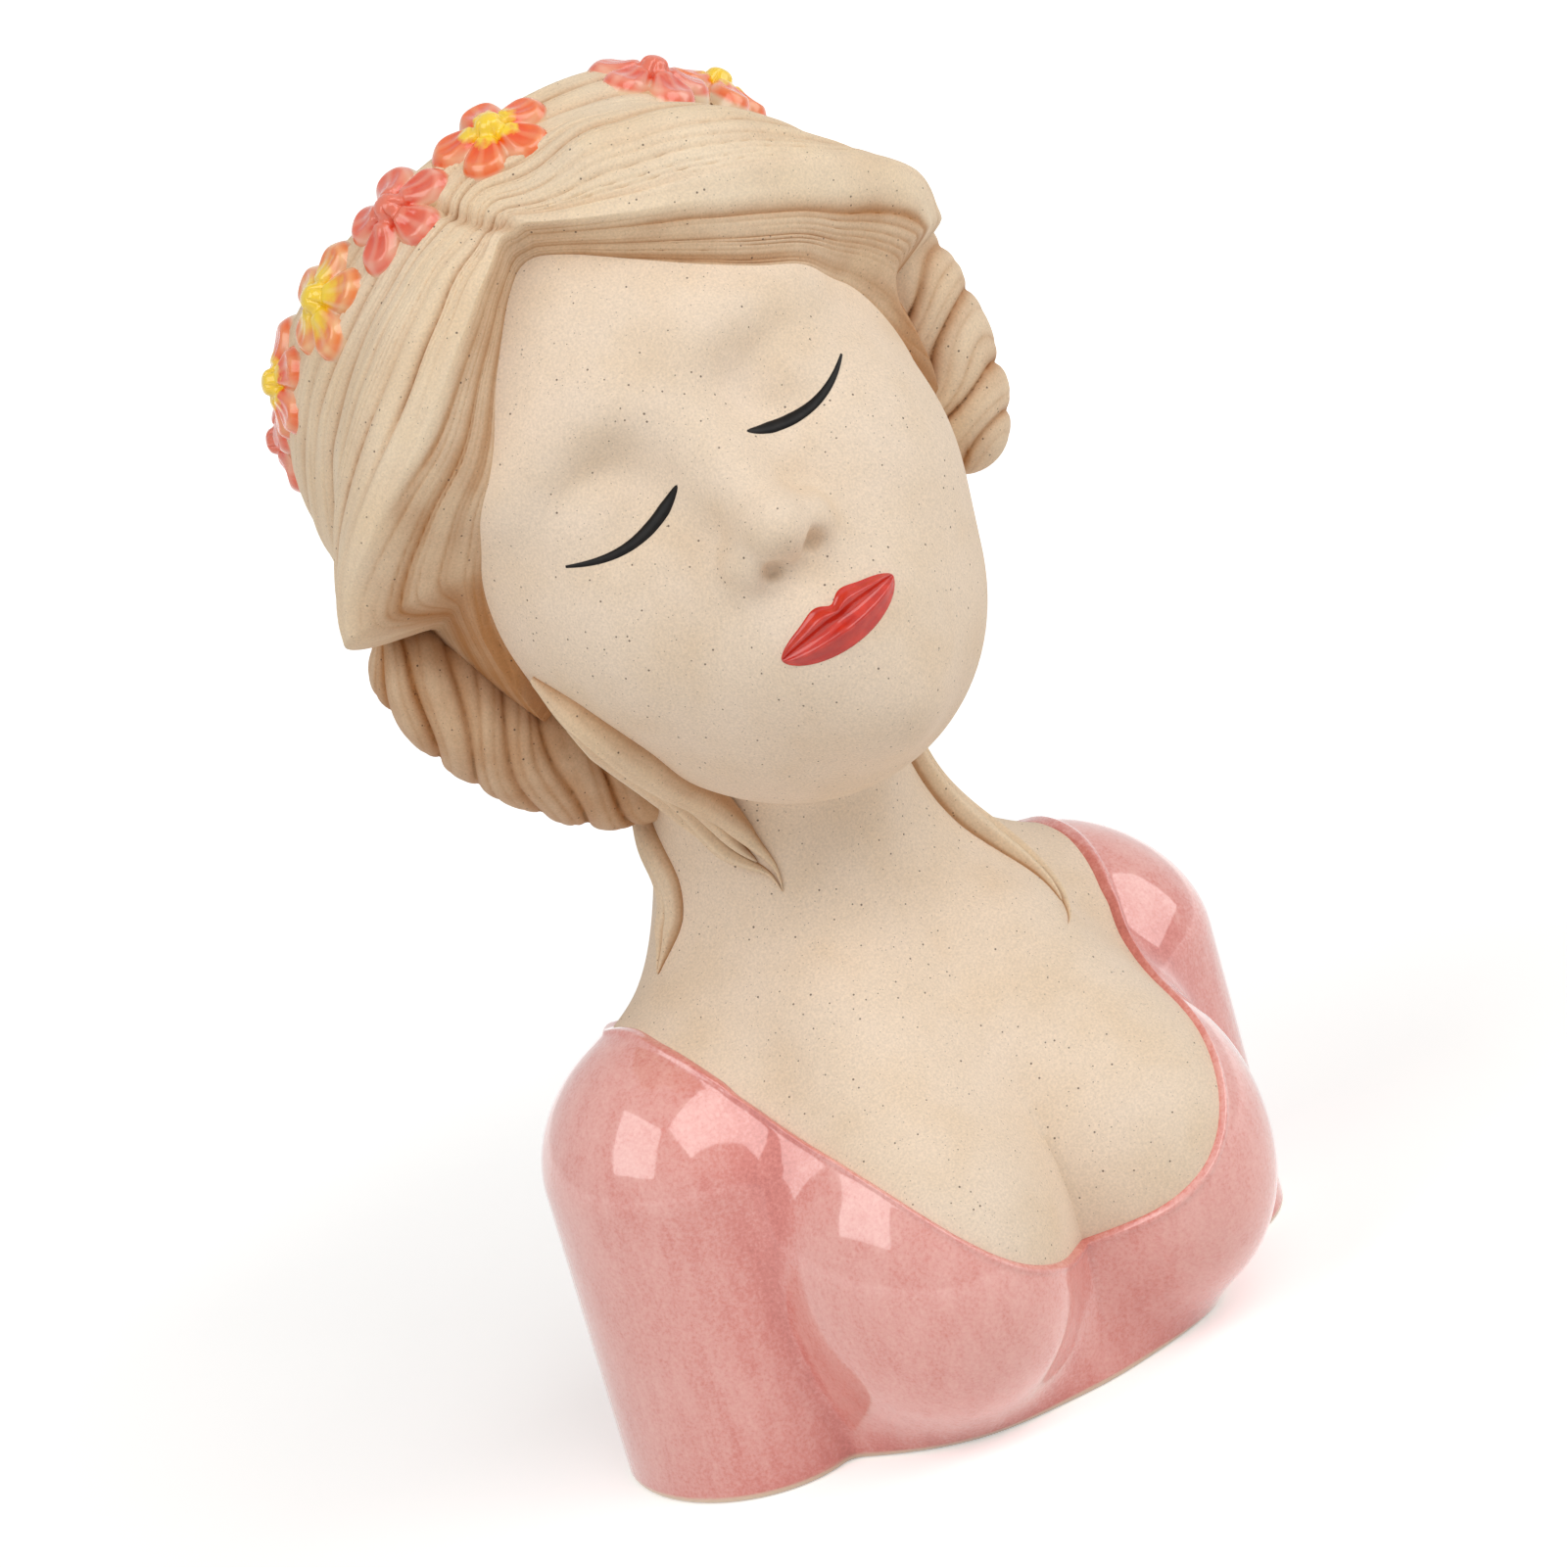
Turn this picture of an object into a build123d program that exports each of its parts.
from build123d import *
import math
import os
import numpy as np

# Head planter: a slip cast stoneware bust of a lady whose hollow head holds the plant.
# Millimetres, +Z up, face towards -Y, origin at the centre of the base.
# The soft forms are sections through rounded bodies blended together, joined by smooth lofts.

# Clay walls and clearances
wall = 5.0
glaze_proud = 0.6
seat_gap = 0.2
overrun = 3.0

# Torso: half of a symmetric bust, as rounded bodies blended together
chest_centre = (0, -3.0, 14.0)
chest_radii = (46.5, 41.0, 70.0)
arm_top = (46.0, 1.0, 53.0)
arm_radius = 19.5
arm_depth_share = 1.2
trapezius_inner = (8.0, 8.0, 80.0)
trapezius_outer = (38.0, 3.0, 61.0)
trapezius_radii = (18.0, 15.0)
breast_centre = (22.0, -30.0, 29.0)
breast_radii = (23.0, 28.0, 27.0)
bosom_top = (16.0, -14.0, 66.0)
bosom_low = (20.0, -28.0, 40.0)
bosom_radii = (16.0, 20.0)
neck_foot = (0, 8.0, 66.0)
neck_head = (-5.0, 3.0, 132.0)
neck_radii = (24.0, 21.5)
arm_blend = 6.0
breast_blend = 9.0
shoulder_blend = 12.0
neck_blend = 14.0

# Neck joint, where the head is luted to the neck, and the sections of the bust below it
joint_height = 100.0
arm_line = 36.0
arm_line_low = 45.0
arm_line_top = 82.0
bust_height_shares = (0, 0.05, 0.1, 0.15, 0.2, 0.25, 0.3, 0.35, 0.4, 0.45, 0.5, 0.55, 0.6, 0.65,
                      0.69, 0.73, 0.77, 0.81, 0.85, 0.9, 0.95, 1)
bust_points = 64

# Neckline of the blouse, as shares of its half width and of its rise to the shoulder
neckline_half_width = 44.0
neckline_top = 76.0
neckline_front = 26.0
neckline_back = 66.0
neckline_width_shares = (0, 0.36, 0.60, 0.76, 0.90, 1)
neckline_rise_shares = (0, 0.09, 0.26, 0.50, 0.82, 1)
neckline_back_shares = (0, 0.08, 0.30, 0.56, 0.86, 1)

# Floor of the pot, luted in above the foot, and its drain hole
foot_recess = 2.0
floor_thickness = 5.0
drain_radius = 6.0

# Head: its place, its pose and its rounded bodies in its own upright frame
head_centre = (-7.0, 5.0, 163.0)
head_turn = -23.1
head_pitch = -20.5
head_lean = -19.7
skull_centre = (0, 3.0, 14.0)
skull_radii = (46.5, 53.0, 52.0)
face_centre = (0, -12.0, -14.0)
face_radii = (38.0, 37.0, 47.5)
jaw_centre = (0, -21.0, -34.0)
jaw_radii = (27.0, 27.0, 26.5)
chin_centre = (0, -37.0, -49.0)
chin_radii = (11.0, 12.0, 11.5)
cheek_centre = (19.0, -27.0, -18.0)
cheek_radii = (17.0, 17.0, 18.0)
brow_inner = (9.0, -44.0, 11.0)
brow_outer = (27.0, -36.0, 10.0)
brow_radii = (5.5, 4.5)
socket_centre = (17.5, -56.0, -1.0)
socket_radii = (12.0, 11.5, 8.0)
lid_centre = (17.5, -33.5, -1.5)
lid_radii = (11.5, 12.2, 9.5)
nose_root = (0, -43.0, 9.0)
nose_end = (0, -51.5, -17.0)
nose_radii = (5.0, 5.2)
nose_tip_centre = (0, -54.5, -20.5)
nose_tip_radii = (5.6, 6.0, 5.4)
nostril_centre = (6.0, -49.5, -22.5)
nostril_radii = (3.6, 5.2, 4.2)
muzzle_centre = (0, -40.0, -37.0)
muzzle_radii = (15.0, 12.5, 11.0)
skull_blend = 14.0
face_blend = 10.0
chin_blend = 8.0
socket_blend = 7.0
lid_blend = 3.0
nose_blend = 8.0
nose_tip_blend = 5.0
throat_blend = 6.0

# Sections of the head: steps from the neck joint to eye level, then to the mouth of the pot
head_low_shares = (0.014, 0.034, 0.06, 0.1, 0.16, 0.22, 0.28, 0.34, 0.4, 0.46, 0.51, 0.56)
head_mid_shares = (0.61, 0.655, 0.7, 0.74, 0.78, 0.82, 0.86, 0.9, 0.95)
head_high_shares = (0, 0.14, 0.28, 0.43, 0.57, 0.71, 0.86)
head_points = 72
head_crowding = 0.6

# Tracing of the sections: steps along a ray, then halvings, and moves that settle a point on a form
trace_steps = 120
trace_halvings = 22
settle_moves = 12
smallest = 1e-9

# Mouth of the pot: the plane across the crown where the plant goes in
mouth_centre = (2.0, 4.0, 50.0)
mouth_tilt = -12.0

# Hair: a thick cap over the skull and two sweeps drawn back from the parting, in the head's frame
hair_thickness = 6.5
sweep_left_path = ((-16.0, -44.0, 40.0), (-42.0, -34.0, 24.0), (-52.0, -13.0, -2.0))
sweep_left_radii = (6.0, 11.0)
sweep_right_path = ((16.0, -44.0, 42.0), (44.0, -38.0, 24.0), (55.0, -10.0, 9.0))
sweep_right_radii = (7.0, 7.5)
sweep_steps = 6
sweep_blend = 9.0
hair_low = -30.0
hair_steps = 10
hair_points = 48
parting_place = 1.0
hair_back_place = 12.0

# Hairline: the opening of the hair round the face, from the parting to the ears
hairline_peak = 46.0
hairline_ear = -12.0
hairline_left_width = 41.0
hairline_right_width = 43.5
hairline_left_shares = ((0.18, 0.86), (0.41, 0.67), (0.63, 0.49), (0.88, 0.26), (1, 0))
hairline_right_shares = ((0.25, 0.83), (0.53, 0.62), (0.78, 0.43), (0.98, 0.27), (1.03, 0))
hairline_depth = -12.0

# Rolls of hair pinned up behind the ears and across the nape, as shares of the skull's radii
ear_right_shares = ((1.02, -0.1, -0.18), (1.2, 0.06, -0.62), (0.78, 0.3, -1.02))
ear_left_shares = ((-1.0, 0.0, -0.42), (-1.12, 0.2, -0.8), (-0.66, 0.5, -1.02))
nape_shares = ((-0.62, 0.62, -0.98), (-0.2, 1.02, -1.06), (0.3, 0.8, -1.0))
ear_roll_radius = 11.5
nape_radius = 10.0
roll_waves = 3
roll_wave_depth = 0.6
roll_steps = 18
roll_points = 24
roll_end_share = 0.5

# Loose locks that hang from the hair over the jaw on to the neck: their paths, width and thickness
lock_left_path = ((-47.5, -6.0, 143.5), (-44.8, -12.6, 137.0), (-39.6, -15.0, 129.3), (-28.4, -8.4, 115.4),
                  (-22.8, -8.4, 106.0), (-19.8, -10.8, 98.6), (-18.3, -13.2, 93.5))
lock_nape_path = ((-25.3, 12.8, 100.8), (-27.2, 8.2, 95.5), (-29.8, 6.4, 88.8), (-34.6, 5.7, 82.3))
lock_right_path = ((32.1, -3.4, 146.0), (28.6, -6.0, 138.0), (22.6, -7.0, 126.0), (17.5, -6.3, 113.0),
                   (17.1, -6.3, 103.0), (22.0, -7.6, 90.0), (29.2, -11.2, 80.0), (27.1, -21.5, 75.5),
                   (24.6, -28.1, 71.0))
lock_left_width = 8.0
lock_nape_width = 4.0
lock_right_width = 5.0
lock_thickness = 2.6
lock_blend = 14.0
lock_root_share = 0.5
lock_root_length_share = 0.125
lock_tip_share = 0.2
lock_tip_length_share = 0.36
lock_bends = 5
lock_steps = 13
strip_points = 5
strip_edge_share = 0.32

# Lips and lash lines: raised glaze on the face, in shares of the width of each
lip_centre_height = -38.0
lip_half_width = 12.5
lip_upper = 4.2
lip_lower = 5.0
lip_thickness = 1.3
lip_steps = 11
lip_reach_share = 0.985
lip_height_shares = (-1, -0.62, -0.2, 0.02, 0.3, 0.66, 1)
lip_upper_fullness = 1.3
lip_lower_fullness = 1.2
lip_bow_shares = (0.9, -0.25)
lip_corner_share = 0.12
lip_edge_share = 0.3
lip_furrow_depth_share = 0.55
lip_furrow_width_share = 0.14
lip_rim = 0.3
lash_centre = (17.5, -5.5)
lash_half_width = 9.5
lash_dip = 2.6
lash_width = 1.3
lash_thickness = 0.6
lash_end_share = 0.35
lash_fullness_share = 0.96
lash_steps = 9

# Rim band rolled along the mouth of the pot, and the garland of flowers round it
rim_height = 3.4
rim_inset = 2.6
rim_round = 1.6
rim_rise_shares = (0, 0.35, 0.8, 1)
rim_inset_shares = (0, -0.35, 0, 1)
flower_radius = 9.4
flower_thickness = 2.6
flower_sink = 1.2
flower_petals = 5
flower_notch_share = 0.26
petal_fullness = 0.6
flower_rise_shares = (0, 0.35, 0.75, 1)
flower_size_shares = (0.94, 1, 0.95, 0.8)
flower_points = 40
flower_heart_radius = 2.3
flower_heart_rise = 1.2
flower_turns = (-130, -103, -75, -48, -20, 6, 52, 78, 105, 132, 160.5, 187)
flower_drop_shares = (0.3, 0.5, 0.3, 0.2, 0.1, 0.1, 0.5, 0.8, 0.4, 0.3, 0.5, 0.3)
flower_spin = 23.0


def rounded(points, centre, radii):
    # Distance to an ellipsoid, from its scaled radius
    offset = points - np.array(centre)
    reach = np.linalg.norm(offset / np.array(radii), axis=-1)
    slope = np.linalg.norm(offset / np.square(np.array(radii)), axis=-1)
    return reach * (reach - 1) / np.maximum(slope, smallest)


def limb(points, start, end, radii, depth_share=1.0):
    # Distance to a tapered rod with round ends, deepened front to back by its share
    squash = np.array((1, depth_share, 1))
    offset = (points - np.array(start)) / squash
    along = (np.array(end) - np.array(start)) / squash
    place = np.clip(offset @ along / (along @ along), 0, 1)
    gap = np.linalg.norm(offset - place[..., None] * along, axis=-1)
    return gap - (radii[0] + (radii[1] - radii[0]) * place)


def blend(first, second, width):
    # Union of two bodies with a fillet of the given width between them
    near = np.maximum(width - np.abs(first - second), 0) / width
    return np.minimum(first, second) - near * near * width / 4


def carve(first, second, width):
    # The first body less the second, with a rounded edge
    return -blend(-first, second, width)


def mirrored(points):
    # The same points on the half where the symmetric bodies are given
    return np.concatenate((np.abs(points[..., :1]), points[..., 1:]), axis=-1)


def turning(axis, degrees):
    # Rotation matrix about one of the three axes
    angle = math.radians(degrees)
    matrix = np.eye(3)
    others = [index for index in range(3) if index != axis]
    matrix[others[0], others[0]] = math.cos(angle)
    matrix[others[1], others[1]] = math.cos(angle)
    matrix[others[0], others[1]] = -math.sin(angle) * (-1 if axis == 1 else 1)
    matrix[others[1], others[0]] = math.sin(angle) * (-1 if axis == 1 else 1)
    return matrix


head_pose = turning(2, head_turn) @ turning(0, head_pitch) @ turning(1, head_lean)
mouth_normal = turning(0, mouth_tilt) @ np.array((0, 0, 1))


def into_head(points):
    return (points - np.array(head_centre)) @ head_pose


def out_of_head(points):
    return np.array(points, float) @ head_pose.T + np.array(head_centre)


def torso_form(points):
    half = mirrored(points)
    arm_foot = (arm_top[0], arm_top[1], -arm_radius)
    form = rounded(half, chest_centre, chest_radii)
    form = blend(form, limb(half, arm_top, arm_foot, (arm_radius, arm_radius), arm_depth_share), arm_blend)
    form = blend(form, limb(half, bosom_top, bosom_low, bosom_radii), shoulder_blend)
    form = blend(form, rounded(half, breast_centre, breast_radii), breast_blend)
    form = blend(form, limb(half, trapezius_inner, trapezius_outer, trapezius_radii), shoulder_blend)
    return blend(form, limb(points, neck_foot, neck_head, neck_radii), neck_blend)


def plain_head(points):
    half = mirrored(points)
    form = blend(rounded(half, skull_centre, skull_radii), rounded(half, face_centre, face_radii), skull_blend)
    return blend(form, rounded(half, jaw_centre, jaw_radii), face_blend)


def head_form(points):
    half = mirrored(points)
    form = plain_head(points)
    form = blend(form, rounded(half, cheek_centre, cheek_radii), face_blend)
    form = blend(form, rounded(half, chin_centre, chin_radii), chin_blend)
    form = blend(form, limb(half, brow_inner, brow_outer, brow_radii), chin_blend)
    form = carve(form, rounded(half, socket_centre, socket_radii), socket_blend)
    form = blend(form, rounded(half, lid_centre, lid_radii), lid_blend)
    form = blend(form, limb(half, nose_root, nose_end, nose_radii), nose_blend)
    nose = blend(rounded(half, nose_tip_centre, nose_tip_radii),
                 rounded(half, nostril_centre, nostril_radii), nose_tip_blend)
    form = blend(form, nose, nose_tip_blend)
    return blend(form, rounded(half, muzzle_centre, muzzle_radii), face_blend)


def figure_form(points):
    return blend(torso_form(points), head_form(into_head(points)), throat_blend)


def hollow_form(points):
    # The cavity follows the plain bodies of the head, without the features of the face
    return blend(torso_form(points), plain_head(into_head(points)), throat_blend)


def lock_form(points):
    # What the loose locks hang over, easing them from the jaw on to the neck
    return blend(torso_form(points), plain_head(into_head(points)), lock_blend)


def bend(path, share):
    # A point along the curve that three places pull
    start, middle, end = (np.array(place, float) for place in path)
    return (1 - share) ** 2 * start + 2 * share * (1 - share) * middle + share ** 2 * end


def hair_form(points):
    place = into_head(points)
    form = plain_head(place) - hair_thickness
    for path, radii in ((sweep_left_path, sweep_left_radii), (sweep_right_path, sweep_right_radii)):
        for step in range(sweep_steps):
            shares = (step / sweep_steps, (step + 1) / sweep_steps)
            widths = [radii[0] + (radii[1] - radii[0]) * share for share in shares]
            sweep = limb(place, bend(path, shares[0]), bend(path, shares[1]), widths)
            form = blend(form, sweep, sweep_blend)
    return form


def surface_points(form, origin, rays, level):
    # Where rays from inside first leave the form grown by the level
    steps = np.linspace(0, 2 * skull_radii[1], trace_steps + 1)
    starts = np.broadcast_to(origin, rays.shape)
    outside = form(starts[:, None, :] + rays[:, None, :] * steps[None, :, None]) > level
    first = outside.argmax(1)
    near = steps[np.maximum(first - 1, 0)]
    far = steps[first]
    for _ in range(trace_halvings):
        middle = (near + far) / 2
        inside = form(origin + rays * middle[:, None]) < level
        near = np.where(inside, middle, near)
        far = np.where(inside, far, middle)
    return origin + rays * near[:, None]


face_direction = -head_pose[:, 1]
head_axis = head_pose[:, 2]
up = np.array((0, 0, 1.0))
front = np.array((0, -1.0, 0))


def ray_fan(normal, forward, count, crowding):
    # Rays in a plane, closer together towards the front
    normal = np.array(normal) / np.linalg.norm(normal)
    first = forward - (forward @ normal) * normal
    first = first / np.linalg.norm(first)
    second = np.cross(normal, first)
    place = np.arange(count) / count + 0.5
    angles = 2 * math.pi * place - crowding * np.sin(2 * math.pi * place)
    return np.cos(angles)[:, None] * first + np.sin(angles)[:, None] * second


def between(start, end, share):
    # Directions turned from one set to another
    angle = np.arccos(np.clip((start * end).sum(-1), -1, 1))[:, None]
    return (np.sin((1 - share) * angle) * start + np.sin(share * angle) * end) / np.sin(angle)


def unit(vectors):
    return vectors / np.linalg.norm(vectors, axis=-1)[:, None]


def closed_wire(points):
    # A closed smooth curve, with the same even parameters in every section
    count = len(points)
    places = [index / count for index in range(count + 1)]
    edge = Edge.make_spline([tuple(map(float, point)) for point in points], periodic=True, parameters=places)
    return Wire([edge])


def skin(sections):
    return Solid.make_loft([closed_wire(points) for points in sections])


def spine(height):
    # Centre of the bust's section at a height: between the arms below, then along the leaning neck
    share = (height - neck_foot[2]) / (neck_head[2] - neck_foot[2])
    if share > 0:
        place = np.array(neck_foot) + (np.array(neck_head) - np.array(neck_foot)) * share
        return np.array((place[0], place[1], height))
    rise = max(height, 0) / neck_foot[2]
    return np.array((0, arm_top[1] + (neck_foot[1] - arm_top[1]) * rise, height))


def bust_section(height, level):
    # The torso at a height, seen from a line between the arms that shrinks to a point at the neck
    rays = ray_fan(up, front, bust_points, 0)
    spread = arm_line * np.clip((arm_line_top - height) / (arm_line_top - arm_line_low), 0, 1)
    origins = spine(height) + spread * rays * np.array((1, 0, 0))
    return surface_points(torso_form, origins, rays, level)


def bust(level, reach=0.0):
    # The torso and neck grown by the level, running past its two ends by the reach
    heights = [share * joint_height for share in bust_height_shares]
    if reach:
        heights = [-reach] + heights + [joint_height + reach]
    return skin([bust_section(height, level) for height in heights])


def head_body(form, level, reach=0.0, count=head_points):
    # The head and upper neck grown by the level, from the neck joint to the mouth of the pot
    centre = np.array(head_centre)
    joint = spine(joint_height - reach)
    mouth = out_of_head(mouth_centre) + head_pose @ mouth_normal * reach
    low = surface_points(form, joint, ray_fan(up, face_direction, count, head_crowding), level)
    high = surface_points(form, mouth, ray_fan(head_pose @ mouth_normal, face_direction, count, head_crowding), level)
    level_rays = ray_fan(head_axis, face_direction, count, head_crowding)
    sections = [low]
    for share in head_low_shares + head_mid_shares:
        sections.append(surface_points(form, centre, between(unit(low - centre), level_rays, share), level))
    for share in head_high_shares:
        sections.append(surface_points(form, centre, between(level_rays, unit(high - centre), share), level))
    return skin(sections + [high])


def hair_body(level, reach=0.0):
    # The whole mass of hair grown by the level, from behind the ears to the mouth of the pot
    sections = []
    for share in np.linspace(0, 1, hair_steps + 1):
        tilt = turning(0, mouth_tilt * share)
        height = hair_low + (mouth_centre[2] - hair_low) * share
        if share == 0:
            height -= reach
        if share == 1:
            height += reach
        origin = out_of_head((mouth_centre[0] * share, mouth_centre[1], height))
        rays = ray_fan(head_pose @ tilt @ up, face_direction, hair_points, 0)
        sections.append(surface_points(hair_form, origin, rays, level))
    return skin(sections)


head_plane = Plane(origin=head_centre, x_dir=tuple(head_pose[:, 0]), z_dir=tuple(head_axis))


def in_head(shape):
    # A shape drawn in the head's upright frame, moved to its pose
    return head_plane.location * shape


def neckline_prism():
    # Everything above the neckline: a deep scoop in front and a shallow one behind
    size = joint_height + overrun
    parts = []
    for low, shares, side in ((neckline_front, neckline_rise_shares, -1), (neckline_back, neckline_back_shares, 1)):
        half = [(neckline_half_width * across, low + (neckline_top - low) * rise)
                for across, rise in zip(neckline_width_shares, shares)]
        points = [(-x, z) for x, z in reversed(half[1:])] + half
        curve = Spline(*points)
        top = Polyline(points[-1], (neckline_half_width, size + overrun), (-neckline_half_width, size + overrun),
                       points[0])
        outline = make_face([curve, top])
        sheet = Plane.XZ * outline
        parts.append(extrude(sheet, amount=size, dir=(0, side, 0)))
    return parts[0] + parts[1]


def face_window():
    # The opening of the hair round the face, drawn from the front
    peak = hairline_peak
    fall = hairline_peak - hairline_ear
    left = [(-hairline_left_width * x, hairline_ear + fall * z) for x, z in hairline_left_shares]
    right = [(hairline_right_width * x, hairline_ear + fall * z) for x, z in hairline_right_shares]
    low = hair_low - overrun
    start = (parting_place, peak)
    outline = make_face([
        Spline(start, *right),
        Polyline(right[-1], (2 * hairline_right_width, hairline_ear), (2 * hairline_right_width, low),
                 (-hairline_left_width, low), left[-1]),
        Spline(*reversed(left), start),
    ])
    sheet = Plane.XZ.offset(-hairline_depth) * outline
    return in_head(extrude(sheet, amount=2 * skull_radii[1], dir=(0, -1, 0)))


def on_skull(shares):
    return np.array(skull_centre) + np.array(shares) * np.array(skull_radii)


def roll(shares, radius):
    # A rolled curl of hair with shallow waves across it, drawn in at both ends
    path = [on_skull(place) for place in shares]
    turns = np.linspace(0, 2 * math.pi, roll_points, endpoint=False)[:, None]
    sections = []
    for step in range(roll_steps + 1):
        share = step / roll_steps
        place = bend(path, share)
        along = (1 - share) * (path[1] - path[0]) + share * (path[2] - path[1])
        side = np.cross(along, place - np.array(skull_centre))
        side = side / np.linalg.norm(side)
        out = np.cross(side, along) / np.linalg.norm(along)
        full = 1 - (2 * share - 1) ** 4
        wave = roll_wave_depth * full * math.cos(2 * math.pi * roll_waves * share)
        reach = radius * (roll_end_share + (1 - roll_end_share) * full) + wave
        sections.append(place + reach * (np.cos(turns) * side + np.sin(turns) * out))
    return in_head(skin(sections))


def slope(form, points):
    # Outward direction of the form's surface
    reach = lash_width / 2
    parts = [form(points + np.eye(3)[axis] * reach) - form(points - np.eye(3)[axis] * reach) for axis in range(3)]
    return unit(np.stack(parts, axis=-1))


def onto(form, points, directions, level):
    # Points moved along fixed directions until they lie on the form grown by the level
    points = np.array(points)
    for _ in range(settle_moves):
        points = points - directions * (form(points) - level)[..., None]
    return points


def strip(form, path, widths, heights, gap):
    # A raised ribbon that lies on a form along a path, thickest along its middle
    path = onto(form, path, slope(form, path), 0)
    outward = slope(form, path)
    along = unit(np.gradient(path, axis=0))
    across = unit(np.cross(along, outward))
    outward = np.cross(across, along)
    sides = np.linspace(-1, 1, strip_points)
    sections = []
    for place, side, out, width, height in zip(path, across, outward, widths, heights):
        low = place + sides[:, None] * side * width / 2
        outs = np.broadcast_to(out, low.shape)
        crown = gap + height * np.sqrt(1 - (1 - strip_edge_share ** 2) * sides ** 2)
        top = onto(form, low, outs, crown)
        low = onto(form, low, outs, gap)
        sections.append(closed_wire(np.concatenate((low, top[::-1]))))
    return Solid.make_loft(sections)


def lock(places, width):
    # A loose lock of hair along a smooth curve near the given places, tapered to its tip
    given = np.linspace(0, 1, len(places))
    steps = np.linspace(1, 0, lock_steps)
    curves = np.polyfit(given, np.array(places), min(len(places) - 1, lock_bends))
    path = np.stack([np.polyval(curve, steps) for curve in curves.T], axis=-1)
    root = lock_root_share + (1 - lock_root_share) * steps / lock_root_length_share
    tip = lock_tip_share + (1 - lock_tip_share) * (1 - steps) / lock_tip_length_share
    taper = np.minimum(np.minimum(root, tip), 1)
    return strip(lock_form, path, width * taper, lock_thickness * taper, seat_gap)


def lash(side):
    # The raised dark line along a closed lid
    across = np.linspace(-1, 1, lash_steps)
    places = np.stack((side * (lash_centre[0] + lash_half_width * across),
                       np.full(lash_steps, skull_centre[1]),
                       lash_centre[1] - lash_dip * (1 - across ** 2)), axis=-1)
    rays = np.broadcast_to((0, -1.0, 0), places.shape)
    path = surface_points(head_form, places, rays, 0)
    taper = lash_end_share + (1 - lash_end_share) * np.sqrt(1 - lash_fullness_share * across ** 2)
    return in_head(strip(head_form, path, lash_width * taper, lash_thickness * taper, seat_gap))


def lips():
    # Both lips as one raised glazed pad: a bow above, a fuller curve below, a furrow between
    sections = []
    heights = np.array(lip_height_shares)
    for step in range(lip_steps):
        across = -math.cos(math.pi * step / (lip_steps - 1)) * lip_reach_share
        full = math.sqrt(1 - across ** 2)
        bow = lip_bow_shares[0] + lip_bow_shares[1] * math.cos(2 * math.pi * across)
        upper = lip_upper * full ** lip_upper_fullness * bow
        lower = lip_lower * full ** lip_lower_fullness
        rise = np.where(heights > 0, heights * upper, heights * lower)
        places = np.stack((np.full(len(heights), lip_half_width * across),
                           np.full(len(heights), skull_centre[1]),
                           lip_centre_height + rise + lip_corner_share * lip_upper * across ** 2), axis=-1)
        rays = np.broadcast_to((0, -1.0, 0), places.shape)
        low = surface_points(head_form, places, rays, seat_gap)
        furrow = 1 - lip_furrow_depth_share * np.exp(-(heights / lip_furrow_width_share) ** 2)
        swell = lip_thickness * full * (1 - (1 - lip_edge_share) * heights ** 4) * furrow
        top = low + front * (swell + lip_rim)[:, None]
        sections.append(closed_wire(np.concatenate((low, top[::-1]))))
    return in_head(Solid.make_loft(sections))


def rim_band(grown=0.0):
    # A low rolled band round the mouth of the pot, on the cut edges of the head and the hair
    centre = out_of_head(mouth_centre)
    normal = head_pose @ mouth_normal
    rays = ray_fan(normal, face_direction, hair_points, 0)
    outer = surface_points(hair_form, centre, rays, 0) - rays * rim_inset
    inner = surface_points(hollow_form, centre, rays, -wall)
    rises = [(rim_height + 2 * grown) * share - grown for share in rim_rise_shares]
    insets = [rim_round * share - grown for share in rim_inset_shares]
    band = skin([outer - rays * inset + normal * rise for inset, rise in zip(insets, rises)])
    if grown:
        return band
    return band - skin([inner + normal * rise for rise in (-overrun, rim_height / 2, rim_height + overrun)])


def flower(turn, drop_share):
    # Five rounded petals round a domed heart, pressed on to the hair below the rim
    normal = head_pose @ mouth_normal
    centre = out_of_head(mouth_centre) - normal * drop_share * flower_radius
    frame_x = head_pose[:, 0]
    frame_y = np.cross(normal, frame_x)
    angle = math.radians(turn)
    ray = (math.sin(angle) * frame_x - math.cos(angle) * frame_y)[None]
    seat = surface_points(hair_form, centre, ray, 0)
    out = slope(hair_form, seat)[0]
    plane = Plane(origin=tuple(seat[0] - out * flower_sink), z_dir=tuple(out), x_dir=tuple(np.cross(normal, out)))
    angles = np.linspace(0, 2 * math.pi, flower_points, endpoint=False)
    petals = np.abs(np.cos(flower_petals * (angles + math.radians(flower_spin * turn)) / 2))
    radii = flower_radius * (1 - flower_notch_share * (1 - petals ** petal_fullness))
    sections = []
    for rise, size in zip(flower_rise_shares, flower_size_shares):
        height = rise * (flower_sink + flower_thickness)
        points = [(radius * size * math.cos(a), radius * size * math.sin(a), height)
                  for radius, a in zip(radii, angles)]
        sections.append(closed_wire(np.array(points)))
    top = flower_sink + flower_thickness
    heart = Pos(0, 0, top) * Sphere(flower_heart_radius)
    heart = heart & Pos(0, 0, top + flower_heart_rise / 2) * Box(
        2 * flower_radius, 2 * flower_radius, flower_heart_rise + overrun)
    return plane.location * (Solid.make_loft(sections) + heart)


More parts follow.
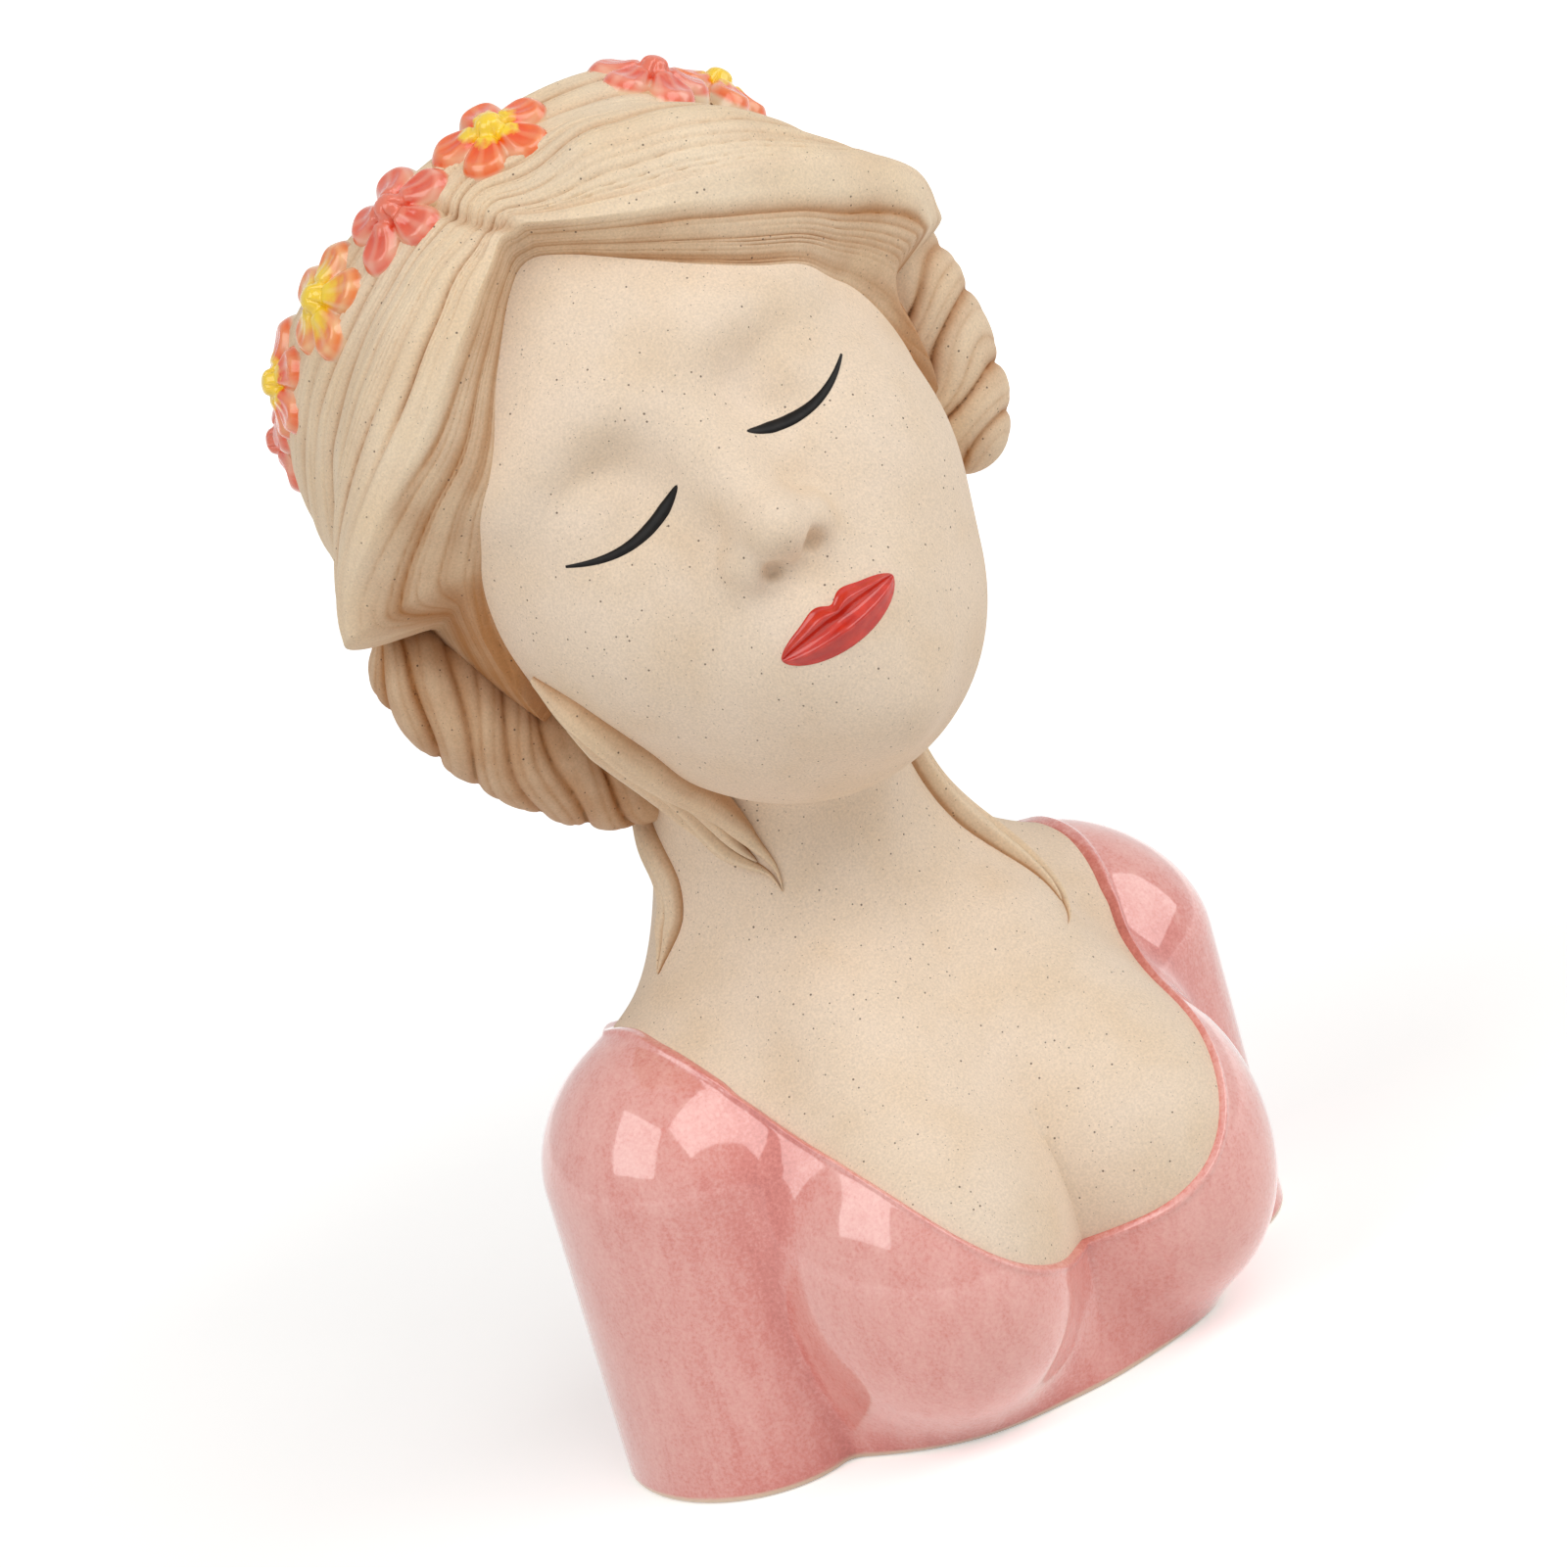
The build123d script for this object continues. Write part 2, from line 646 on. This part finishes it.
def half_space(place, axis, side):
    # A large block on one side of a plane of the head's frame
    size = 4 * skull_radii[1]
    centre = [0, 0, 0]
    centre[axis] = place + side * size / 2
    return in_head(Pos(*centre) * Box(size, size, size))


def main():
    parts = {}

    hollow = bust(-wall, overrun)
    scoop = neckline_prism()
    parts["blouse"] = bust(glaze_proud) - hollow - scoop
    parts["neck_and_chest"] = (bust(0) - hollow) & scoop

    cavity = head_body(hollow_form, -wall, overrun)
    parts["head"] = head_body(figure_form, 0) - cavity

    head_room = head_body(figure_form, seat_gap, overrun)
    hair = hair_body(0) - head_room - face_window()
    back = half_space(hair_back_place, 1, 1)
    front_hair = hair - back
    parts["hair_back"] = hair & back
    parts["hair_sweep_left"] = front_hair - half_space(parting_place, 0, 1)
    parts["hair_sweep_right"] = front_hair & half_space(parting_place, 0, 1)

    hair_room = hair_body(seat_gap, overrun)
    parts["hair_roll_right"] = roll(ear_right_shares, ear_roll_radius) - head_room - hair_room
    parts["hair_roll_left"] = roll(ear_left_shares, ear_roll_radius) - head_room - hair_room
    parts["hair_roll_nape"] = roll(nape_shares, nape_radius) - head_room

    parts["lock_left"] = lock(lock_left_path, lock_left_width)
    parts["lock_nape"] = lock(lock_nape_path, lock_nape_width)
    parts["lock_right"] = lock(lock_right_path, lock_right_width)
    parts["lash_left"] = lash(-1)
    parts["lash_right"] = lash(1)
    parts["lips"] = lips()
    parts["rim_band"] = rim_band()

    rim_room = rim_band(seat_gap)
    for index, (turn, drop_share) in enumerate(zip(flower_turns, flower_drop_shares)):
        seated = flower(turn, drop_share) - hair_room - rim_room
        parts["flower_" + str(index + 1).zfill(2)] = max(seated.solids(), key=lambda solid: solid.volume)

    floor = skin([bust_section(foot_recess + floor_thickness * share, -wall - seat_gap) for share in (0, 0.5, 1)])
    drain = Pos(0, 0, foot_recess + floor_thickness / 2) * Cylinder(drain_radius, floor_thickness + 2 * overrun)
    parts["floor_plate"] = floor - drain

    os.makedirs("parts", exist_ok=True)
    for name, shape in parts.items():
        solids = shape.solids()
        print(name, len(solids), round(shape.volume), shape.is_valid)
        export_step(shape, os.path.join("parts", name + ".step"))


main()
